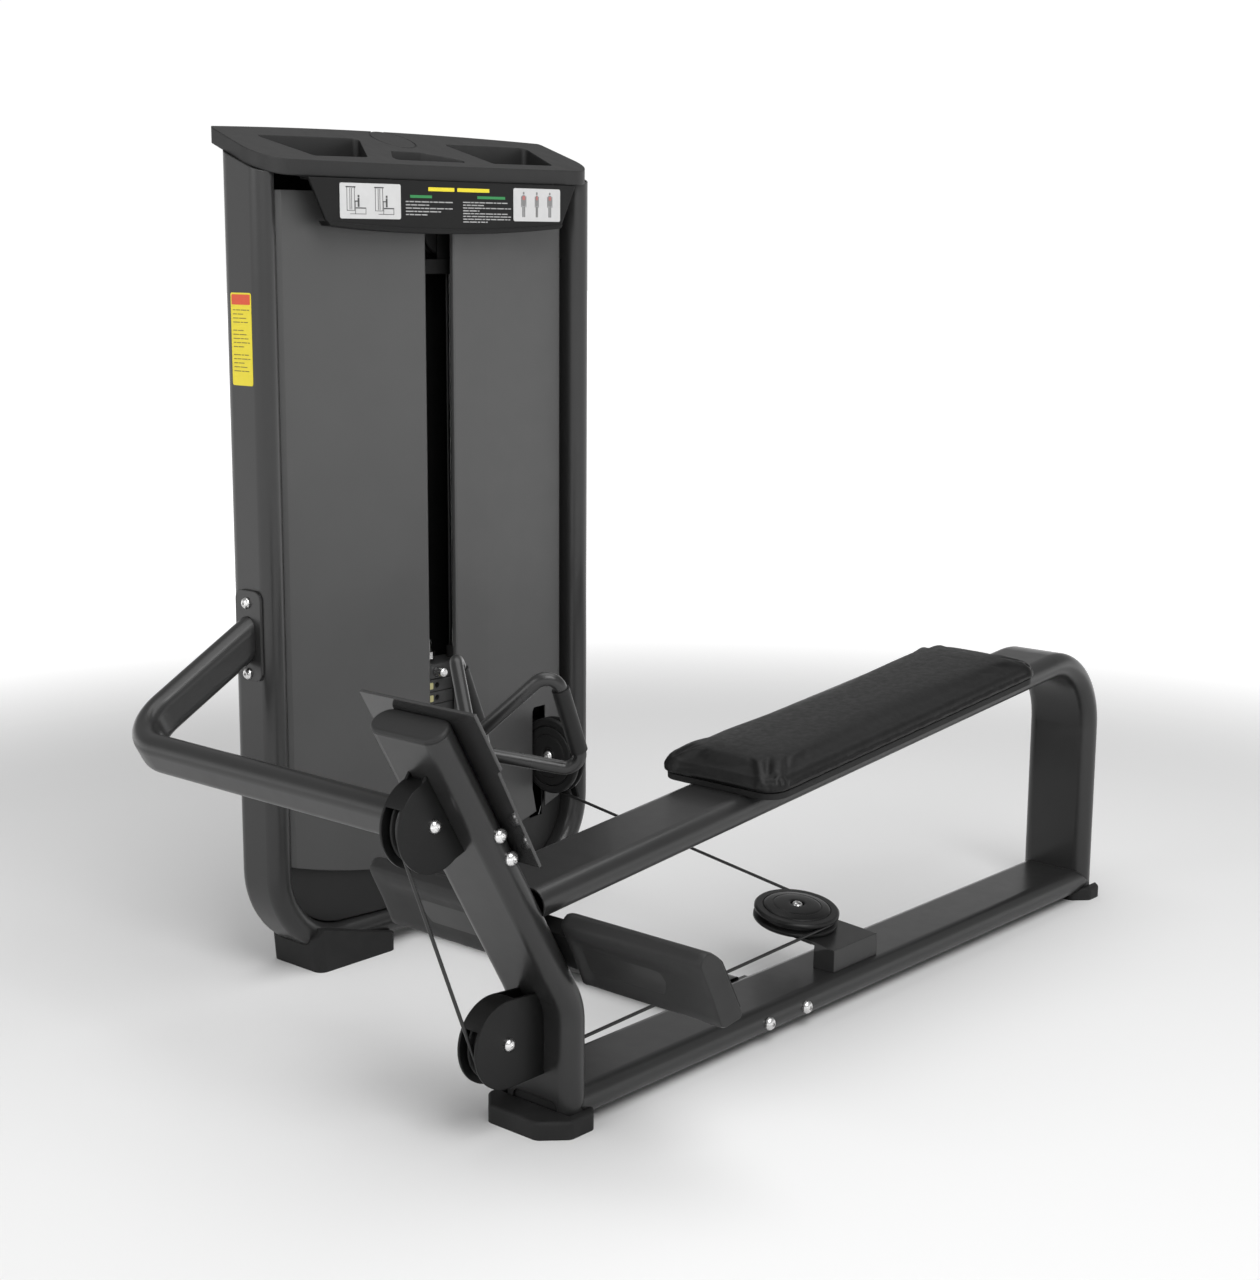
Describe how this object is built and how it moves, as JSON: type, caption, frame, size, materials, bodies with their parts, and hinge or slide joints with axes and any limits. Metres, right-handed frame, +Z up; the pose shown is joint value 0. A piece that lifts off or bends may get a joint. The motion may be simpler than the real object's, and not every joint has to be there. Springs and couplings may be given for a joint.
{
  "type": "seated cable row",
  "caption": "Seated cable row: bench with foot rests and leaning cable post, linked to a weight tower with a sloping tray cap, twin-loop row handle",
  "frame": {"origin": "on the floor, under the middle of the whole machine", "axes": "+Z up, +Y from the foot rests towards the rear of the bench, +X from the tower towards the bench"},
  "size_m": [1.303, 1.976, 1.5748],
  "materials": {
    "frame_paint": "satin powder coat",
    "panel_paint": "satin powder coat, mid grey",
    "moulding": "fine grained moulding",
    "gloss_plate": "semi-gloss enamel",
    "panel_print": "printed label stock",
    "rubber": "matt black",
    "iron": "dark painted casting",
    "chrome": "polished",
    "steel": "zinc plated",
    "pulley_plastic": "moulded nylon",
    "cable_jacket": "black jacket",
    "handle_paint": "smooth black enamel",
    "vinyl": "grained black vinyl",
    "board": "black-edged plywood"
  },
  "bodies": {
    "frame": {"cable_handle_run": "cable_jacket", "cable_main": "cable_jacket", "cable_stack_run": "cable_jacket", "connecting_bolts": "steel", "connecting_flange": "frame_paint", "connecting_tube": "frame_paint", "cross_beam": "frame_paint", "cross_beam_bolts": "steel", "foot_rest_bar": "frame_paint", "foot_rest_left": "moulding", "foot_rest_right": "moulding", "front_foot": "rubber", "front_post": "frame_paint", "guide_rods": "chrome", "holder_bolts": "steel", "holder_plate": "gloss_plate", "instruction_panels": "panel_print", "lower_beam": "frame_paint", "lower_cover": "moulding", "lower_guard": "frame_paint", "lower_pulley_bolt": "steel", "placard": "moulding", "post_end_cap": "moulding", "rear_foot": "rubber", "rest_tread_left": "rubber", "rest_tread_right": "rubber", "rod_bar_high": "frame_paint", "rod_bar_low": "frame_paint", "seat_board": "board", "seat_bolts": "steel", "seat_frame": "frame_paint", "seat_pad": "vinyl", "shroud_front_left": "panel_paint", "shroud_front_right": "panel_paint", "shroud_rear": "panel_paint", "stack_bumpers": "rubber", "top_cap": "moulding", "top_pulley_bolts": "steel", "top_pulley_hangers": "frame_paint", "tower_foot_front": "rubber", "tower_foot_rear": "rubber", "tower_frame": "frame_paint", "tower_pulley_arm": "frame_paint", "tower_pulley_bolt": "steel", "turning_bracket": "frame_paint", "turning_pulley_bolt": "steel", "upper_guard": "frame_paint", "upper_pulley_bolt": "steel", "weight_plates": "iron"},
    "cable_end": {"cable_stop": "rubber"},
    "fork": {"handle_fork": "steel"},
    "handle": {"row_handle": "handle_paint", "handle_grips": "rubber"},
    "carriage": {"head_plate": "iron", "selector_stem": "chrome"},
    "pin": {"selector_pin": "steel"},
    "upper_wheel": {"upper_pulley": "pulley_plastic"},
    "lower_wheel": {"lower_pulley": "pulley_plastic"},
    "turning_wheel": {"turning_pulley": "pulley_plastic"},
    "tower_wheel": {"tower_pulley": "pulley_plastic"},
    "side_wheel": {"top_pulley_side": "pulley_plastic"},
    "centre_wheel": {"top_pulley_centre": "pulley_plastic"}
  },
  "joints": [
    {"name": "handle_pull", "type": "slide", "parent": "frame", "child": "cable_end", "axis": [0, 0.9272, 0.3746], "range_m": [0, 0.72]},
    {"name": "fork_swivel", "type": "hinge", "parent": "cable_end", "child": "fork", "pos_m": [0.2965, -0.81892, 0.63494], "axis": [0, 0.9272, 0.3746], "continuous": true},
    {"name": "handle_tilt", "type": "hinge", "parent": "fork", "child": "handle", "pos_m": [0.2965, -0.81892, 0.63494], "axis": [1, 0, 0], "range_deg": [-20, 20]},
    {"name": "stack_lift", "type": "slide", "parent": "frame", "child": "carriage", "axis": [0, 0, 1], "range_m": [0, 0.72], "deforming": ["cable_stack_run"]},
    {"name": "pin_pull", "type": "slide", "parent": "carriage", "child": "pin", "axis": [1, 0, 0], "range_m": [0, 0.05]},
    {"name": "upper_wheel_spin", "type": "hinge", "parent": "frame", "child": "upper_wheel", "pos_m": [0.2965, -0.917, 0.536], "axis": [1, 0, 0], "continuous": true},
    {"name": "lower_wheel_spin", "type": "hinge", "parent": "frame", "child": "lower_wheel", "pos_m": [0.2965, -0.766, 0.157], "axis": [1, 0, 0], "continuous": true},
    {"name": "turning_wheel_spin", "type": "hinge", "parent": "frame", "child": "turning_wheel", "pos_m": [0.22523, 0.09103, 0.13842], "axis": [0.1425, -0.0302, 0.9893], "continuous": true},
    {"name": "tower_wheel_spin", "type": "hinge", "parent": "frame", "child": "tower_wheel", "pos_m": [-0.4665, 0.163, 0.313], "axis": [0, -1, 0], "continuous": true},
    {"name": "side_wheel_spin", "type": "hinge", "parent": "frame", "child": "side_wheel", "pos_m": [-0.5385, 0.113, 1.396], "axis": [1, 0, 0], "continuous": true},
    {"name": "centre_wheel_spin", "type": "hinge", "parent": "frame", "child": "centre_wheel", "pos_m": [-0.5385, -0.0795, 1.396], "axis": [1, 0, 0], "continuous": true}
  ],
  "couplings": [
    {"joint": "stack_lift", "follows": "handle_pull", "ratio": 1},
    {"joint": "upper_wheel_spin", "follows": "handle_pull", "rad_per_m": -18.182},
    {"joint": "lower_wheel_spin", "follows": "handle_pull", "rad_per_m": -18.182},
    {"joint": "turning_wheel_spin", "follows": "handle_pull", "rad_per_m": -13.889},
    {"joint": "tower_wheel_spin", "follows": "handle_pull", "rad_per_m": 13.889},
    {"joint": "side_wheel_spin", "follows": "handle_pull", "rad_per_m": -20},
    {"joint": "centre_wheel_spin", "follows": "handle_pull", "rad_per_m": -20}
  ]
}
